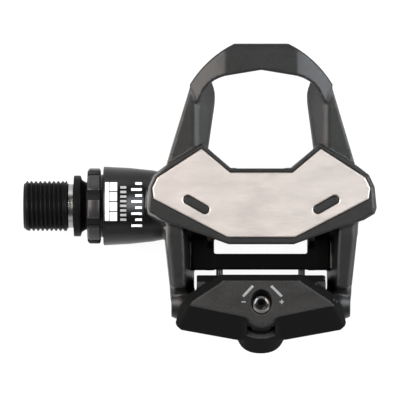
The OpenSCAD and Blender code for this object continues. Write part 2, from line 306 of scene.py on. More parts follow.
def sweep(name, path, radius):
    """A round wire along a path that turns mostly about X, with its far end narrowed."""
    sides = 14
    path = np.array(path, float)
    ahead = np.gradient(path, axis=0)
    ahead /= np.linalg.norm(ahead, axis=1, keepdims=True)
    across = np.cross(ahead, (1, 0, 0))
    across /= np.linalg.norm(across, axis=1, keepdims=True)
    upward = np.cross(across, ahead)
    turn = np.arange(sides) * 2 * math.pi / sides
    girth = np.full(len(path), radius)
    girth[-1] = radius * 0.75
    cos, sin = (f(turn)[None, :, None] for f in (np.cos, np.sin))
    points = path[:, None] + girth[:, None, None] * (cos * across[:, None] + sin * upward[:, None])
    last = (len(path) - 1) * sides
    faces = []
    for a in range(0, last, sides):
        b = a + sides
        faces += [(a + k, a + (k + 1) % sides, b + (k + 1) % sides, b + k) for k in range(sides)]
    faces += [range(sides), range(last, last + sides)]
    return mesh_object(name, points.reshape(-1, 3), faces)


def printed(name, marks, onto):
    """Ink marks, each given by four corners, laid on a surface as thin closed shells."""
    ink = 0.04
    n = 9  # points along each side of a mark
    points, faces = [], []
    steps = np.linspace(0, 1, n)
    for corners in marks:
        a, b, c, d = (np.array(p, float) for p in corners)
        start = len(points)
        for lift in (-ink, ink):
            for s in steps:
                for t in steps:
                    near, far = a * (1 - s) + b * s, d * (1 - s) + c * s
                    points.append(onto(*(near * (1 - t) + far * t), lift))

        def at(layer, i, j, start=start):
            return start + (layer * n + i) * n + j

        for i in range(n - 1):
            for j in range(n - 1):
                for layer in (0, 1):
                    cell = ((i, j), (i + 1, j), (i + 1, j + 1), (i, j + 1))
                    faces.append([at(layer, *corner) for corner in cell])
            for j in (0, n - 1):
                faces.append((at(0, i, j), at(0, i + 1, j), at(1, i + 1, j), at(1, i, j)))
                faces.append((at(0, j, i), at(0, j, i + 1), at(1, j, i + 1), at(1, j, i)))
    return mesh_object(name, points, faces)


# ---------------------------------------------------------------- the moulded body

# Outlines seen from above, (a, y): the outside of hoop and rails, the hoop's opening, its crossbar, the deck
# under the plate, and the plate
HOOP_FRONT = 45.7
HOOP_CORNER = [(PAST, HOOP_FRONT), (7.4, HOOP_FRONT)] + arc((7.6, HOOP_FRONT), (20.2, 34.2), 1.2)
OUTER = HOOP_CORNER + [(27.0, 11.2), (27.9, 2), (27.4, -9), (26.1, -21), (24.9, -31.9), (PAST, -31.9)]
WINDOW = ([(PAST, 39.4), (0, 38.2), (9, 36.4)] + arc((9.4, 36.2), (12.7, 31.4), 0.9, 5)
          + [(14.9, 16.2), (8.6, 10.9), (PAST, 10.9)])
BAR = (HOOP_CORNER + [(18.2, 29.0)] + arc((17.3, 30.2), (10.2, 36.6), -1.3, 6)
       + [(0, 38.3), (PAST, 39.5)])
PLATFORM = [(PAST, 10.6), (8.6, 10.6), (16.4, 17.5), (27.1, 11.3), (30.4, 8.8), (32.0, 5.4), (32.6, -0.6),
            (32.0, -2.2), (29.0, -4.0), (22.3, -6.1), (9.2, -10.8), (PAST, -10.8)]
PLATE = [(PAST, 9.4), (8.8, 9.4), (16.8, 16.1), (29.3, 8.0), (30.7, 5.1), (30.3, 2.0), (9.5, -8.8),
         (PAST, -8.8)]

# Outlines seen from the side, (y, z): the hoop and rails, the height of the hoop's inner ridge, and the web and
# ribs under the deck
SIDE = [(47.5, 7.4), (47.5, 16), (36, 16), (30, 11.6), (18, 9.2), (11, 8.4), (-8, 7.7), (-23.0, 5.6),
        (-23.8, 3.2), (-25.5, 1.5), (-27.8, -1.5), (-27.8, -5.4), (-24, -6.8), (-18, -7.4), (8, -7.6),
        (17, -3.2), (28, 1.6), (37, 4.6), (44, 5.4)]
RIDGE = [(-40, 7.7), (11, 8.4), (18, 8.9), (28, 9.4), (34, 9.2), (60, 9.2)]
BAR_LOW, BAR_TOP = -4.4, 1.1
WEB = [(-18, BAR_LOW), (-6.5, BAR_LOW), (-6.5, 6), (-9.5, 6), (-12, BAR_TOP), (-18, BAR_TOP)]
FRONT_RIB = [(4, -6.5), (8, -6.2), (10.6, 0), (10.6, 7), (4, 7)]
DECK_RIB = [(4, 2), (9.4, 3.4), (9.4, 7), (4, 7)]

# The space between the rails, (a, z)
RAIL_IN = 18.9
BETWEEN = [(PAST, -20), (RAIL_IN, -20), (RAIL_IN, -3), (22.3, 9), (22.3, 20), (PAST, 20)]
RIDGE_A = 18.3  # where the hoop's arms are highest
EYE_R = 4.7  # the hinge eye at the end of each rail

# The axle housing: its taper as (station, radius) and its stepped bore as (radius, station)
MOUTH = 8.4
HOUSING = [(MOUTH, 11.2), (MOUTH + 7.4, 10.8), (MOUTH + 14, 10.1), (MOUTH + 17, 9.5)]
BORE = [(PAST, 4), (8.5, 4), (8.5, 16), (8, 16), (8, 72), (6.8, 72), (6.8, 76.6), (PAST, 76.6)]


def slots(a, y):
    """The two oblong slots in the plate."""
    middle, turn = (18.3, 0.4), math.radians(30)
    da, dy = a - middle[0], y - middle[1]
    u = da * math.cos(turn) + dy * math.sin(turn)
    v = dy * math.cos(turn) - da * math.sin(turn)
    half_length, radius = 2.75, 1.3
    return np.hypot(np.maximum(np.abs(u) - half_length, 0), v) - radius


def rails(a, y, z):
    """The hoop's arms and the two rails behind them, cored out from below between ribs."""
    outline = polygon(a, y, OUTER)
    opening = polygon(a, y, WINDOW)
    flank = outline + 0.04 * np.maximum(z + 2, 0)
    solid = chamfered(flank, polygon(y, z, SIDE), np.interp(y, (2, 9), (1.1, 0.25)))
    ridge = np.interp(y, *np.array(RIDGE).T)
    steep, gentle = 1.05, 0.08
    inward = (z - ridge + steep * (RIDGE_A - a)) / math.hypot(1, steep)
    outward = (z - ridge + gentle * (a - RIDGE_A)) / math.hypot(1, gentle)
    solid = np.where(y > 8, both(both(solid, outward, 0.3), inward, 1.0), solid)
    solid = less(solid, opening, 0.9)
    hoop_root = 10.4  # the rails lie behind this, the hoop's arms ahead of it
    solid = less(solid, both(polygon(a, z, BETWEEN), y - hoop_root), 0.8)
    wall, pitch, half_rib = 1.9, 8.5, 0.65
    core = both(both(outline + wall, wall - opening), slab(y, -21, 34))
    core = both(core, np.where(y > hoop_root, 16.0, 20.6) - a)
    ribs = np.abs((y + 3) % pitch - pitch / 2) - half_rib
    return less(solid, less(both(core, polygon(y, z + 6.5, SIDE)), ribs), 0.4)


def crossbar(a, y, z):
    """The hoop's crossbar, whose rear lip holds the cleat's nose."""
    height, flat_half = 12.6, 10
    fall = np.maximum(a - flat_half, 0)
    top = (z - height + 0.22 * fall + 0.012 * fall**2) / 1.06
    front = (y - 40) * 0.34 + z - 14.2
    solid = both(polygon(a, y, BAR), top, 0.5)
    solid = both(solid, front, 0.8)
    solid = both(solid, 5.0 - z, 1.4)
    lean, ceiling = 0.5, 9
    end = (a - flat_half - lean * (ceiling - z)) / math.hypot(1, lean)
    under = both(both(slab(y, 30, 41.2), z - ceiling, 0.8), end, 0.8)
    return less(solid, under, 0.4)


def housing(x, y, z):
    """The axle housing, turned about the spindle and flattened on top where it meets the platform."""
    flatter = np.interp(x, (-38, -33), (1, 1.14))
    r = np.hypot(y, z * np.where(z > 0, flatter, 1))
    taper = [(radius, station - CENTRE_X) for station, radius in HOUSING]
    end = BODY_END - CENTRE_X - 5.3
    outline = [(PAST, taper[0][1])] + taper + [(9.3, end - 1.3), (8.2, end), (PAST, end)]
    return polygon(r, x, outline)


def body(x, y, z):
    """The whole moulding: hoop and rails, deck, hinge eyes, axle housing, cross-member and ribs."""
    a = np.abs(x)
    solid = either(rails(a, y, z), crossbar(a, y, z), 0.5)
    bevel = np.interp(a, (26, 30), (0.25, 0.95))
    solid = either(solid, chamfered(polygon(a, y, PLATFORM), slab(z, 5.0, 9.95), bevel), 0.25)
    eye = rod_x(a, y, z, PIVOT, EYE_R, (RAIL_IN, 25.4), 0.5)
    cone = np.hypot(y - PIVOT[0], z - PIVOT[1]) - EYE_R + 0.38 * (a - 22.8)
    solid = either(solid, both(eye, cone, 0.3), 0.8)
    solid = either(solid, housing(x, y, z), 0.6)
    bar = block(a, y, z, (PAST, 19.6), (-18.1, -13.6), (BAR_LOW, BAR_TOP), 0.7)
    floor = block(a, y, z, (13.4, 19.6), (-18.1, -5), (BAR_LOW, BAR_TOP), 0.4)
    web = both(polygon(y, z, WEB), slab(a, 13.4, 15.2), 0.5)
    front_rib = both(polygon(y, z, FRONT_RIB), slab(a, 11.1, 12.9), 0.5)
    deck_rib = both(polygon(y, z, DECK_RIB), slab(a, 3.6, 4.8), 0.4)
    for piece in (bar, floor, web, front_rib, deck_rib):
        solid = either(solid, piece, 0.6)
    fit = 0.12  # round the plate, which lies in a recess with a post through each slot
    recess = both(polygon(a, y, PLATE) - fit, PLATE_UNDER - 0.02 - z)
    post = both(slots(a, y) + fit, z - PLATE_TOP + 0.35)
    solid = less(solid, both(recess, -post), 0.12)
    return less(solid, polygon(np.hypot(y, z), x + CENTRE_X, BORE), 0.15)


def plate(x, y, z):
    """The steel contact plate."""
    a = np.abs(x)
    solid = both(polygon(a, y, PLATE), slab(z, PLATE_UNDER, PLATE_TOP), 0.35)
    return less(solid, slots(a, y), 0.3)


# ---------------------------------------------------------------- the claw

SCREW_TOP = (-27.3, 13.0)  # where the tension screw's frame starts, (y, z)
SCREW_LEAN = math.radians(24)

# The claw from the side, (y, z), and from above, (a, y)
CLAW_SIDE = [(-18.9, 12.4), (-18.9, 16), (-35, 16), (-39.4, 1), (-39.4, -4.6), (-36, -7.4), (-24, -7.4),
             (-20.6, -4.6), (-19.6, -2), (-19.6, 5), (-21.2, 7), (-21.2, 11.6)]
CLAW_PLAN = [(PAST, -18.9), (11.6, -18.9), (12.6, -19.8), (20.8, -25.2), (23.2, -28.6), (24.2, -33.1),
             (23.9, -34), (22.6, -35.2), (7, -38), (PAST, -38)]

CLAW_HALF = 18.2  # half its width between the rails
CROWN = (-21.2, 15.2)  # front of its flat top, (y, z)
CROWN_FALL = 0.221  # drop of that top per millimetre to the rear
NOSE_R = 6.4
COIL_SPAN = (3.55, 13.2)  # the springs' room, from the centre plane


def crown_z(y):
    """Height of the claw's flat top."""
    return CROWN[1] + CROWN_FALL * (y - CROWN[0])


def on_screw(y, z):
    """(across, along) of a point from the tension screw's head: along is up the screw, across forward."""
    dy, dz = y - SCREW_TOP[0], z - SCREW_TOP[1]
    cos, sin = math.cos(SCREW_LEAN), math.sin(SCREW_LEAN)
    return dy * cos - dz * sin, dy * sin + dz * cos


def claw_outside(a, y, z):
    """The claw's shell over the rails, its base between them, the facets behind and the screw's boss."""
    profile = polygon(y, z, CLAW_SIDE)
    top = (z - crown_z(y)) / math.hypot(1, CROWN_FALL)
    plan = polygon(a, y, CLAW_PLAN)
    base = both(block(a, y, z, (PAST, CLAW_HALF), (-34, -19.55), (-8, 9), 0.4), profile, 0.4)
    shell = both(both(plan, np.minimum(5.6 - z, y - PIVOT[0]), 0.2), profile, 0.4)
    hinge = np.hypot(y - PIVOT[0], z - PIVOT[1])
    above, behind = both(PIVOT[0] - y, z - 5.6), both(-33.1 - y, z - PIVOT[1])
    room = np.minimum(np.minimum(hinge - EYE_R - 0.45, above), behind)
    shell = less(shell, both(room, CLAW_HALF - a), 0.3)
    edge_bevel = 0.87 * plan + 0.5 * top + 1.83
    solid = either(both(shell, edge_bevel, 0.35), base, 0.3)
    corner = (20.2, -28.3, 13.3)  # where the side and rear facets meet the top
    solid = both(solid, plane(a, y, z, (20.8, -25.3, 13.9), corner, (24.0, -34.2, 1.0)), 0.5)
    solid = both(solid, plane(a, y, z, corner, (7.5, -30.8, 12.9), (16, -36.5, 1.0)), 0.5)
    across, _ = on_screw(y, z)
    flank = a - 5.7 - 0.16 * (12.5 - np.maximum(z, 3.5))
    nose = both(flank, -NOSE_R - across, 7)
    boss = both(both(nose, slab(z, -5.2, 20), 1.2), y + 24)
    return both(either(both(solid, top, 0.5), both(boss, top, 1.3), 0.5), top)


def claw(x, y, z):
    """The claw with the room that the springs, the pin, the screw and its nut take inside it."""
    a = np.abs(x)
    across, along = on_screw(y, z)
    from_screw = np.hypot(a, across)
    coils = rod_x(a, y, z, PIVOT, 5.4, COIL_SPAN)
    legs = block(a, y, z, COIL_SPAN, (-33, -18.5), (-12, -2))
    carrier = both(from_screw - 4.9, slab(along, -26, -5))
    wings = block(a, y, z, (PAST, 6.2), (-37.9, -32.3), (-12, 0.6))
    wings = both(wings, (a - y - 41.7) / math.sqrt(2))
    pin = np.hypot(y - PIVOT[0], z - PIVOT[1]) - PIN_R - RUN
    sleeves = rod_x(a, y, z, PIVOT, 2.9, (PAST, 5))
    head = both(from_screw - 2.85, -2.6 - along)
    shank = both(from_screw - SCREW_R - RUN, slab(along, -10, 2))
    window = both(both(slab(a, -4.0, 4.0), slab(along, -10.6, -4.4), 0.6), across + 3)
    hollow = coils
    for room in (legs, carrier, wings, pin, sleeves, head, shank, window):
        hollow = np.minimum(hollow, room)
    return less(claw_outside(a, y, z), hollow, 0.2)


def tension_nut(x, y, z):
    """A block that rides on the screw, with two wings below and a pointer behind."""
    a = np.abs(x)
    across, along = on_screw(y, z)
    carrier = block(a, across, along, (PAST, 3.2), (-3.5, 3.0), (-24, -12.4), 0.5)
    carrier = both(carrier, CARRIER_LOW - z, 0.4)
    wings = block(a, y, z, (PAST, 6), (-36.2, -33.3), (CARRIER_LOW, CARRIER_LOW + 3.6), 0.5)
    wings = both(wings, (a - y - 40.0) / math.sqrt(2), 0.4)
    pointer = block(a, across, along, (PAST, 2.7), (-4.0, -3.0), (-15, -5.3), 0.3)
    solid = either(either(carrier, wings, 0.5), pointer, 0.3)
    return less(solid, np.hypot(a, across) - SCREW_R - RUN, 0.15)


# ---------------------------------------------------------------- pieces

pieces = {}  # each piece and its material slot


def add(obj, node, slot, ride):
    """Puts a finished piece in its CAD node's place, riding on a body if one is given."""
    if ride:
        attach(obj, ride)
    if node:
        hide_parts(node)
    pieces[obj] = slot
    return obj


def from_field(name, node, shape, step, slot, ride):
    """A piece from a distance field, looked for half a millimetre round its CAD node's box."""
    low, high = centred_box(node)
    return add(surface(name, shape, low - 0.5, high + 0.5, step), node, slot, ride)


def make_spindle():
    """Crank end: socket, threads, relief and flange; then the journals and the lock nut's stub."""
    end = SPINDLE_END
    socket = [(end + 9.2, 0.4), (end + 8, 2.2), (end + 8, hexagon(8)), (end + 1.1, hexagon(8)),
              (end + 0.9, 4.35)]
    rim = [(end + 0.15, 4.95), (end, 5.15), (end, 6.15), (end + 0.1, 6.3), (end + 0.7, 6.75)]
    threads = thread(end + 0.8, -1.9, 7.14, 0.64, 1.27)
    seat = [(-1.9, 6.5), (-1.5, 6.2), (0, 6.2), (0, 8.65), (1.9, 8.65), (2.3, 7.4), (3.4, 6.7), (12, 6.7)]
    rear = [(13, 6), (28, 6), (34, 5), (62, 5), (62, 4), (72, 4), (72, 3.5), (75.8, 3.5), (75.8, 0.5)]
    rings = socket + rim + threads + eased(seat, 0.25) + eased(rear, 0.2)
    return lathe("spindle_steel", rings, about_spindle)


NOTCHES = 8
NOTCH_TURN = 45 - 17.5  # degrees from the front to the middle between two notches
NOTCH_HALF = 1.5
NOTCH_FLOOR = 9.7


def notched(radius):
    """A ring of the retaining nut, down to the notches' floor in each notch and radius between them."""
    pitch = 2 * math.pi / NOTCHES
    half_turn = NOTCH_HALF / 10.4  # a notch's half width as an angle, near the nut's rim

    def at(t):
        beside = np.abs((t - math.radians(NOTCH_TURN)) % pitch - pitch / 2)
        wall = np.clip((beside - pitch / 2 + half_turn) / 0.02, 0, 1)
        return radius - np.maximum(0, radius - NOTCH_FLOOR) * wall * wall * (3 - 2 * wall)

    return at


def make_retaining_nut():
    """Nut with wrench notches, a recess for the seal, a neck and a sleeve that goes into the housing."""
    big, small, end = NUT_LOW[0], NUT_LOW[0] + 3.7, NUT_HIGH[0]
    rim = [(big, 9.9), (big + 0.1, 10.2), (big + 0.5, 10.6), (big + 0.7, 10.7), (small - 0.45, 10.7),
           (small - 0.25, 10.62), (small - 0.05, 10.3), (small, 10.0)]
    outer = [(big, 9.2)] + [(station, notched(radius)) for station, radius in rim]
    neck = [(small, 9.2), (small, 8.9), (MOUTH - 0.1, 8.9), (MOUTH - 0.1, 8.45), (end, 8.45), (end, 7.1)]
    inner = [(big + 2.6, 7.1), (big + 2.6, 8), (big + 0.3, 8), (big, 8.3)]
    rings = outer + eased(neck, 0.12) + eased(inner, 0.15)
    return lathe("retaining_nut_black", rings, about_spindle, tube=True, n=240)


def make_seal():
    """Rubber ring with a lip that leans on the spindle's neck."""
    low, high = (corner[0] for corner in node_box("lip_seal"))
    profile = [(low + 0.25, 6.76), (low, 7.1), (low + 0.15, 7.45), (low + 0.7, 7.2), (low + 0.9, 7.97),
               (high, 7.97), (high, 6.76)]
    return lathe("lip_seal_rubber", eased(profile, 0.12, closed=True), about_spindle, tube=True)


def make_pin():
    """Hinge pin with a dimple and a rounded edge at each end."""
    low, high = node_box("hinge_pin")
    half = (high[0] - low[0]) / 2
    tip = [(half - 0.5, 0.2), (half - 0.1, 0.9), (half, 1.1), (half, 1.6), (half - 0.12, 1.85),
           (half - 0.4, PIN_R)]
    return lathe("hinge_pin_steel", [(-s, r) for s, r in tip] + tip[::-1], about_hinge, n=48)


def make_sleeves():
    """A white bush inside each spring."""
    profile = eased([(3.75, 2.05), (3.75, 2.8), (13, 2.8), (13, 2.05)], 0.25, closed=True)
    right = lathe("spring_sleeves_white", profile, about_hinge, tube=True, n=48)
    left = lathe("left_sleeve", [(-s, r) for s, r in profile], about_hinge, tube=True, n=48)
    with bpy.context.temp_override(active_object=right, selected_editable_objects=[right, left]):
        bpy.ops.object.join()
    return right


def make_screw():
    """Tension screw: socket head, clip groove and threads."""
    key = hexagon(3, 30)
    head = [(-4.6, 0.2), (-4.2, 1.2), (-4.2, key), (-0.75, key), (-0.5, 1.85), (-0.45, 2.0), (-0.45, 2.4),
            (-0.55, 2.55), (-0.75, 2.68), (-2.45, 2.68), (-2.56, 2.55), (-2.56, SCREW_R)]
    groove = [(-5.15, SCREW_R), (-5.2, 1.5), (-5.8, 1.5), (-5.85, SCREW_R)]
    threads = [(-s, r) for s, r in thread(6.0, 18.4, SCREW_R, 0.36, 0.7)]
    tip = [(-18.5, 1.6), (-19, 1.2)]
    return lathe("tension_screw_steel", head + groove + threads + tip, about_screw, n=60)


COIL_R = 4.0
WIRE_R = 1.0
LEG_OUT, LEG_IN = 11.7, 4.95  # the spring's two legs, from the centre plane
TURNS = 3
TURN_STEPS = 28


def make_spring(side):
    """One torsion spring in two lengths of wire: the outer leg under the body's bar with the coils round the
    sleeve, and the inner leg under the nut's wing."""
    drop = PIVOT[1] - COIL_R
    coils = [(LEG_OUT, y, drop) for y in np.linspace(-14.4, PIVOT[0] + 0.8, 14)]
    steps = TURNS * TURN_STEPS
    for i in range(steps + 1):
        turn = i * 2 * math.pi / TURN_STEPS
        coils.append((LEG_OUT - (LEG_OUT - LEG_IN) * i / steps, PIVOT[0] - COIL_R * math.sin(turn),
                      PIVOT[1] - COIL_R * math.cos(turn)))
    leg = [(LEG_IN, y, drop) for y in np.linspace(PIVOT[0], -35.6, 20)]
    word = "right" if side > 0 else "left"
    wires = []
    for part, path in (("coils", coils), ("leg", leg)):
        wires.append(sweep(f"spring_{word}_{part}", [(side * x, y, z) for x, y, z in path], WIRE_R))
    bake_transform(wires[0])
    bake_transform(wires[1])
    return wires


def on_top_of(obj, start=0.0):
    """A function that lays a point on obj's upper surface, its x counted from start, raised by lift."""
    def onto(x, y, lift):
        above = ((x + start) * MM, y * MM, CAD_BOX[1][2] + MM)
        place = obj.ray_cast(above, (0, 0, -1))[1]
        return x + start - CENTRE_X, y, place.z / MM + lift

    return onto


def oblong(x0, x1, y0, y1):
    """Corners of a rectangle."""
    return [(x0, y0), (x1, y0), (x1, y1), (x0, y1)]


def bar_between(a, b, width):
    """A straight mark from a to b."""
    a, b = np.array(a, float), np.array(b, float)
    d = (b - a) / np.linalg.norm(b - a) * width / 2
    side = np.array((-d[1], d[0]))
    return [a - side, b - side, b + side, a + side]


def row_of_marks(x0, x1, y0, height, pitch, count, stagger=0.0):
    """Rectangles one above the other, every second one starting stagger further out."""
    rows = [y0 + pitch * i for i in range(count)]
    return [oblong(x0 + stagger * (i % 2), x1, y, y + height) for i, y in enumerate(rows)]


def housing_marks():
    """A plain printed panel, a row of short bars and a ladder of ticks. None of it is lettering."""
    panel = [oblong(MOUTH + 0.6, MOUTH + 1.7, -4.2, 6.7)]
    panel += row_of_marks(MOUTH + 1.9, MOUTH + 4.0, -4.2, 2.5, 2.8, 4)
    ladder = row_of_marks(MOUTH + 8.0, MOUTH + 11.0, -5.9, 0.7, 1.7, 8, stagger=1.1)
    faint = row_of_marks(MOUTH + 4.9, MOUTH + 6.6, -4.2, 0.7, 1.3, 8)
    return panel + ladder, faint


def claw_marks():
    """Turn marks beside the tension screw: a bar each side with a minus and a plus."""
    bars = [((-2.4, -22.4), (-5.2, -25.4)), ((2.7, -22.4), (5.7, -25.4))]
    minus = [((-5.6, -26.9), (-4.4, -26.9))]
    plus = [((5.1, -26.9), (6.3, -26.9)), ((5.7, -27.5), (5.7, -27.08)), ((5.7, -26.72), (5.7, -26.3))]
    return [bar_between(*ends, 0.7) for ends in bars] + [bar_between(*ends, 0.35) for ends in minus + plus]


shell = from_field("moulded_body", "pedal_body", body, 0.45, "body_composite", "pedal")
claw_shell = from_field("claw_shell", "rear_claw", claw, 0.33, "claw_composite", "claw")
from_field("contact_plate_steel", "contact_plate", plate, 0.3, "plate_steel", "pedal")
from_field("tension_nut_block", "tension_nut", tension_nut, 0.25, "nut_plastic", "nut")
spindle = add(make_spindle(), "spindle", "spindle_steel", "spindle")
nut = add(make_retaining_nut(), "retaining_nut", "nut_alloy", "pedal")
add(make_seal(), "lip_seal", "seal_rubber", "pedal")
add(make_pin(), "hinge_pin", "pin_steel", "pedal")
add(make_sleeves(), "spring_sleeves", "bush_plastic", "claw")
screw = add(make_screw(), "tension_screw", "screw_steel", "screw")
for side, node in ((1, "spring_right"), (-1, "spring_left")):
    for wire in make_spring(side):
        add(wire, node, "spring_steel", None)
white, faint = housing_marks()
housing_print = printed("housing_print", white, on_top_of(shell))
faint_print = printed("housing_print_faint", faint, on_top_of(shell))
claw_print = printed("claw_print", claw_marks(), on_top_of(claw_shell, CENTRE_X))
for ink, ride in ((housing_print, "pedal"), (faint_print, "pedal"), (claw_print, "claw")):
    add(ink, None, "bush_plastic", ride)

# ---------------------------------------------------------------- materials


class Nodes:
    """A short way to write a node tree."""

    def __init__(self, name):
        self.mat = bpy.data.materials.new(name)
        self.mat.use_nodes = True
        self.tree = self.mat.node_tree
        self.tree.nodes.clear()
        self.bsdf = self.add("BsdfPrincipled")
        out = self.add("OutputMaterial")
        self.tree.links.new(self.bsdf.outputs[0], out.inputs[0])

    def add(self, kind, inputs=None, **settings):
        """A node whose inputs are set to values or linked to sockets."""
        node = self.tree.nodes.new("ShaderNode" + kind)
        for key, value in settings.items():
            setattr(node, key, value)
        for key, value in (inputs or {}).items():
            if isinstance(value, bpy.types.NodeSocket):
                self.tree.links.new(value, node.inputs[key])
            else:
                node.inputs[key].default_value = value
        return node

    def set(self, **values):
        """Sets or links the surface shader's sockets."""
        for key, value in values.items():
            socket = self.bsdf.inputs[key.replace("_", " ")]
            if isinstance(value, bpy.types.NodeSocket):
                self.tree.links.new(value, socket)
            else:
                socket.default_value = value

    def noise(self, scale, detail, stretch=(1, 1, 1)):
        """Noise in the object's own space: scale is in features per millimetre."""
        place = self.add("TexCoord").outputs["Object"]
        moved = self.add("Mapping", {"Vector": place, "Scale": [1000 * scale * s for s in stretch]})
        inputs = {"Vector": moved.outputs[0], "Scale": 1.0, "Detail": detail}
        return self.add("TexNoise", inputs).outputs["Fac"]

    def ramp(self, value, stops):
        """A colour ramp from (place, colour) stops."""
        node = self.add("ValToRGB", {"Fac": value})
        points = node.color_ramp.elements
        while len(points) < len(stops):
            points.new(0.5)
        for point, (place, colour) in zip(points, stops):
            point.position = place
            point.color = colour if len(colour) == 4 else (*colour, 1)
        return node.outputs["Color"]

    def mix(self, factor, a, b, blend="MIX"):
        """Colour b over colour a."""
        return self.add("Mix", {0: factor, 6: a, 7: b}, data_type="RGBA", blend_type=blend).outputs[2]

    def span(self, value, low, high):
        """Noise, which lies mostly in 0.3 to 0.7, spread over low to high."""
        inputs = {"Value": value, "From Min": 0.3, "From Max": 0.7, "To Min": low, "To Max": high}
        return self.add("MapRange", inputs).outputs[0]

    def within(self, value, low, high):
        """0 below low, 1 above high."""
        inputs = {"Value": value, "From Min": low, "From Max": high}
        return self.add("MapRange", inputs, interpolation_type="SMOOTHSTEP").outputs[0]

    def times(self, a, b):
        return self.add("Math", {0: a, 1: b}, operation="MULTIPLY").outputs[0]

    def bump(self, height, strength, depth=0.0001, under=None):
        inputs = {"Height": height, "Strength": strength, "Distance": depth}
        if under is not None:
            inputs["Normal"] = under
        return self.add("Bump", inputs).outputs[0]

    def edges(self, low, high):
        """1 on convex edges sharper than high, 0 where the surface is flatter than low."""
        return self.ramp(self.add("NewGeometry").outputs["Pointiness"], [(low, grey(0)), (high, grey(1))])


def grey(v, warm=0.0):
    """A neutral colour, or a slightly warm one."""
    return (v * (1 + warm), v, v * (1 - warm), 1)


def composite(name, level, gloss, smooth_shaded_below, steep, smooth_rough, smooth_left=None):
    """Glass-filled nylon of one grey level. Faces above the given height that look up, which steep's two values
    decide, are grained; the rest are smoother and painted much darker, as painted shade. Convex edges are
    painted paler, partly as rubbed wear and partly as painted highlight lines. Left of smooth_left the surface
    is smooth too, and the platform's leaning edge beside it gets a painted highlight."""
    m = Nodes(name)
    blur = 2
    flow = m.noise(0.12, 4, (1, 2.5, 1))
    grain = m.noise(3.2, detail=4)
    speck = m.noise(9.0, detail=1)
    place = m.add("SeparateXYZ", {"Vector": m.add("TexCoord").outputs["Object"]}).outputs
    facing = m.add("SeparateXYZ", {"Vector": m.add("TexCoord").outputs["Normal"]}).outputs
    high = m.within(place["Z"], (smooth_shaded_below - blur) * MM, (smooth_shaded_below + blur) * MM)
    grained_unshaded = m.times(high, m.within(facing["Z"], *steep))
    base = m.ramp(flow, [(0.3, grey(level * 0.85, 0.03)), (0.7, grey(level * 1.2, 0.02))])
    mottled = m.mix(1.0, base, m.ramp(grain, [(0.3, grey(0.75)), (0.7, grey(1.3))]), "MULTIPLY")
    # painted shade: faces that are not grained and up-facing above the height (low, steep and draft faces) take
    # a base colour at 0.15 of the level
    shade = m.mix(grained_unshaded, grey(level * 0.15), mottled)
    if smooth_left is not None:
        grained_unshaded = m.times(grained_unshaded, m.within(place["X"], (smooth_left - 1) * MM, (smooth_left + 1) * MM))
        # painted highlight: the platform's edge that leans to the left, beside the housing, is painted a pale
        # grey as if it caught a low light from the left
        leaning = m.times(m.within(facing["Z"], 0.84, 0.76), m.within(facing["Z"], 0.5, 0.62))
        bevel = m.times(m.within(facing["X"], -0.25, -0.35), leaning)
        near = m.times(m.within(place["Z"], 6.0 * MM, 6.6 * MM),
                       m.within(place["X"], (smooth_left + 5) * MM, (smooth_left + 4.2) * MM))
        shade = m.mix(m.times(bevel, near), shade, grey(0.13))
    # convex edges are painted paler: partly rubbed wear, partly a painted highlight that stands in for light
    # caught along rounded edges
    wear_and_glint = m.mix(grained_unshaded, grey(level * 1.6), grey(level * 2.4, 0.03))
    rubbed_and_highlit = m.mix(m.edges(0.53, 0.66), shade, wear_and_glint)
    relief = m.bump(speck, 0.2, 0.00003, m.bump(grain, m.span(grained_unshaded, 0.05, 0.5), 0.00005))
    rough = m.add("Mix", {0: grained_unshaded, 2: smooth_rough, 3: m.span(grain, 0.34, 0.48)}).outputs[0]
    m.set(Base_Color=rubbed_and_highlit, Roughness=rough, Normal=relief, Specular_IOR_Level=gloss)
    return m.mat


def brushed(name, colour, rough, tone=0.12, metal=1.0):
    """Ground or brushed metal, its fine lines along X."""
    m = Nodes(name)
    streak = m.noise(1.0, 5, (0.4, 9, 9))
    cloud = m.noise(0.11, 4, (1, 2.2, 1))
    dark = [c * (1 - tone) for c in colour]
    pale = [min(c * (1 + tone * 0.7), 1) for c in colour]
    clouded = m.ramp(cloud, [(0.3, dark), (0.7, pale)])
    lined = m.mix(1.0, clouded, m.ramp(streak, [(0.32, grey(1 - tone)), (0.62, grey(1.0))]), "MULTIPLY")
    m.set(Base_Color=lined, Metallic=metal, Roughness=m.span(streak, rough - 0.07, rough + 0.09))
    m.set(Normal=m.bump(streak, 0.14, 0.00003))
    return m.mat


def plain(name, colour, rough, metal=0.0, wear_and_glint=None, gloss=0.5):
    """One colour with a fine speckle and, when an edge colour is given, another on its convex edges: partly
    rubbed wear and partly a painted glint.
    """
    m = Nodes(name)
    speckle = m.noise(4.0, detail=2)
    base = m.ramp(speckle, [(0.3, [c * 0.85 for c in colour]), (0.7, [min(c * 1.12, 1) for c in colour])])
    if wear_and_glint:
        base = m.mix(m.edges(0.54, 0.72), base, (*wear_and_glint, 1))
    m.set(Base_Color=base, Metallic=metal, Roughness=m.span(speckle, rough - 0.06, rough + 0.06))
    m.set(Normal=m.bump(speckle, 0.15, 0.00003), Specular_IOR_Level=gloss)
    return m.mat


def dress(obj, material):
    """Gives an object one material."""
    obj.data.materials.clear()
    obj.data.materials.append(material)


def patch(obj, material, chosen):
    """Gives another material to the faces whose centres, in pedal millimetres, chosen(x, y, z) picks."""
    obj.data.materials.append(material)
    count = len(obj.data.polygons)
    centres = np.empty(count * 3, np.float32)
    obj.data.polygons.foreach_get("center", centres)
    x, y, z = centres.reshape(-1, 3).T / MM
    index = np.empty(count, np.int32)
    obj.data.polygons.foreach_get("material_index", index)
    index[chosen(x - CENTRE_X, y, z)] = len(obj.data.materials) - 1
    obj.data.polygons.foreach_set("material_index", index)


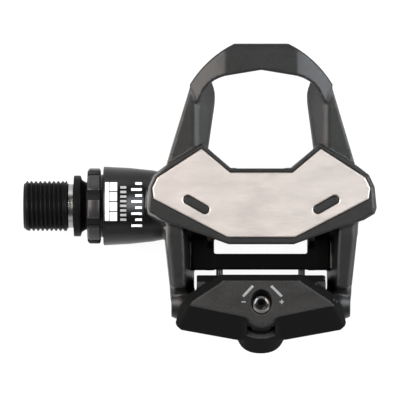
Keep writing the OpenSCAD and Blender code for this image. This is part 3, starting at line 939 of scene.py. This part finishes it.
MATERIALS = {
    "body_composite": composite("body composite", level=0.0105, gloss=0.34, smooth_shaded_below=2.6, steep=(0, 0.6),
                                smooth_rough=0.4, smooth_left=CENTRE_X - 31),
    "claw_composite": composite("claw composite", level=0.028, gloss=0.06, smooth_shaded_below=1, steep=(0.7, 0.96),
                                smooth_rough=0.9),
    "plate_steel": brushed("plate steel", (0.5, 0.455, 0.425), 0.5, tone=0.1, metal=0.85),
    "spindle_steel": plain("black oxide steel", (0.005, 0.0048, 0.0048), 0.42, wear_and_glint=(0.03, 0.029, 0.028),
                           gloss=0.06),
    "nut_alloy": plain("black anodised", (0.024, 0.023, 0.023), 0.34, metal=0.2, wear_and_glint=(0.06, 0.056, 0.056),
                       gloss=0.35),
    "bearing_steel": brushed("bearing steel", (0.7, 0.7, 0.72), 0.2),
    "seal_rubber": plain("seal rubber", (0.012, 0.012, 0.012), 0.7),
    "spacer_alloy": brushed("spacer alloy", (0.65, 0.65, 0.67), 0.35),
    "pin_steel": brushed("pin steel", (0.45, 0.44, 0.44), 0.3),
    "cage_brass": plain("cage brass", (0.62, 0.44, 0.2), 0.35, metal=1.0),
    "spring_steel": plain("spring steel", (0.06, 0.06, 0.065), 0.36, metal=0.8),
    "bush_plastic": plain("bush plastic", (0.7, 0.69, 0.65), 0.5),
    "screw_steel": plain("screw steel", (0.06, 0.058, 0.056), 0.34, metal=0.8, wear_and_glint=(0.42, 0.41, 0.4)),
    "nut_plastic": plain("nut plastic", (0.012, 0.0115, 0.0115), 0.5, gloss=0.3),
}
slots_of = {s["node"]: s["material_slot"] for s in frame["record"]["subparts"]}
for node, obj in frame["nodes"].items():
    dress(obj, MATERIALS[slots_of[node]])
for obj, slot in pieces.items():
    dress(obj, MATERIALS[slot])


def in_relief(x, y, z):
    """The turned groove between the thread and the flange."""
    return np.abs(x + CENTRE_X + 0.95) < 0.55


def in_notches(x, y, z):
    """The floors of the retaining nut's notches."""
    return (x + CENTRE_X < NUT_LOW[0] + 3.7) & (np.abs(np.hypot(y, z) - 9.75) < 0.35)


def on_screw_head(x, y, z):
    """The top of the tension screw's head, round its socket."""
    across, along = on_screw(y, z)
    return (along > -0.9) & (np.hypot(x, across) > 1.72)


def on_housing(x, y, z):
    """The outside of the axle housing between the nut and the platform."""
    return (x < -27.6) & (np.abs(housing(x, y, z)) < 0.25) & (np.hypot(y, z) > 8.8)


def in_recess(x, y, z):
    """The cross-member and its floors, low behind the platform."""
    return (np.abs(x) < 19.6) & (np.abs(y + 11.3) < 7.3) & (z < 5)


patch(spindle, brushed("bare steel", (0.36, 0.355, 0.35), 0.3), in_relief)
# painted shade: the notch floors are painted near black so that the notches look darker than the lands between
# them
patch(nut, plain("notch painted shade", (0.004, 0.004, 0.004), 0.5, gloss=0.2), in_notches)
patch(screw, brushed("bright screw head", (0.3, 0.29, 0.28), 0.36), on_screw_head)
patch(shell, plain("satin black", (0.002, 0.002, 0.002), 0.32, gloss=0.27), on_housing)
patch(shell, plain("shaded black", (0.002, 0.002, 0.002), 0.55, gloss=0.02), in_recess)
dress(housing_print, plain("white ink", (0.86, 0.86, 0.86), 0.55))
dress(faint_print, plain("grey ink", (0.3, 0.3, 0.3), 0.55))
dress(claw_print, plain("pale ink", (0.24, 0.24, 0.24), 0.55))

# ---------------------------------------------------------------- stage


def stage():
    """A pale floor, bright enough to look evenly white."""
    mesh = bpy.data.meshes.new("floor")
    reach = 1.5
    corners = [(-reach, -reach), (reach, -reach), (reach, reach), (-reach, reach)]
    mesh.from_pydata([(x, y, FLOOR_Z * MM) for x, y in corners], [], [(0, 1, 2, 3)])
    floor = bpy.data.objects.new("floor", mesh)
    bpy.context.scene.collection.objects.link(floor)
    m = Nodes("pale floor")
    m.set(Base_Color=(0.1, 0.1, 0.1, 1), Roughness=0.9, Emission_Color=(1, 1, 1, 1), Emission_Strength=0.93)
    dress(floor, m.mat)
    floor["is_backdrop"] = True


def light(name, place, size, power, colour=(1, 1, 1)):
    """A soft panel that faces a point a little inboard of the pedal's middle."""
    data = bpy.data.lights.new(name, "AREA")
    data.shape = "RECTANGLE"
    data.size, data.size_y = size
    data.energy = power
    data.color = colour
    obj = bpy.data.objects.new(name, data)
    bpy.context.scene.collection.objects.link(obj)
    obj.location = place
    aim = Vector((CENTRE_X * MM * 0.75, 0, 0)) - obj.location
    obj.rotation_euler = aim.to_track_quat("-Z", "Y").to_euler()


def camera():
    """A long lens straight above the pedal, which fills most of the picture's width."""
    filled = 0.88
    data = bpy.data.cameras.new("camera")
    data.lens = 400
    data.sensor_width = 36
    data.clip_start = 0.01
    obj = bpy.data.objects.new("camera", data)
    bpy.context.scene.collection.objects.link(obj)
    low, high = CAD_BOX
    middle = (Vector(low) + Vector(high)) / 2
    width = (high[0] - low[0]) / filled
    distance = width * data.lens / data.sensor_width
    obj.location = (middle.x, middle.y, distance)
    bpy.context.scene.camera = obj


def room():
    """Pale walls that fade to a dim ceiling."""
    world = bpy.data.worlds.new("room")
    bpy.context.scene.world = world
    world.use_nodes = True
    tree = world.node_tree
    place = tree.nodes.new("ShaderNodeTexCoord")
    split = tree.nodes.new("ShaderNodeSeparateXYZ")
    fade = tree.nodes.new("ShaderNodeMapRange")
    fade.interpolation_type = "SMOOTHSTEP"
    for key, value in (("From Min", 0.1), ("From Max", 0.4), ("To Min", 0.4), ("To Max", 0.04)):
        fade.inputs[key].default_value = value
    tree.links.new(place.outputs["Generated"], split.inputs[0])
    tree.links.new(split.outputs["Z"], fade.inputs["Value"])
    background = tree.nodes["Background"]
    background.inputs["Color"].default_value = (1, 1, 1, 1)
    tree.links.new(fade.outputs[0], background.inputs["Strength"])


stage()
camera()
light("front", (0.04, 0.7, 0.2), (0.8, 0.3), 1.6)
light("left", (-0.4, 0.1, 0.5), (0.35, 0.5), 6, (1, 0.94, 0.9))
light("right", (0.5, 0.1, 0.5), (0.35, 0.5), 6, (0.9, 0.95, 1))
light("rim left", (-0.5, 0, 0.12), (0.5, 0.12), 1.5)
light("back", (0.04, -0.7, 0.3), (0.8, 0.3), 0.8)
light("rim right", (0.6, 0, 0.12), (0.5, 0.12), 1.5)
room()
bpy.context.scene.view_settings.view_transform = "Standard"

[[list(map(float, c)) for c in box] for box in (CAD_BOX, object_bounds())]
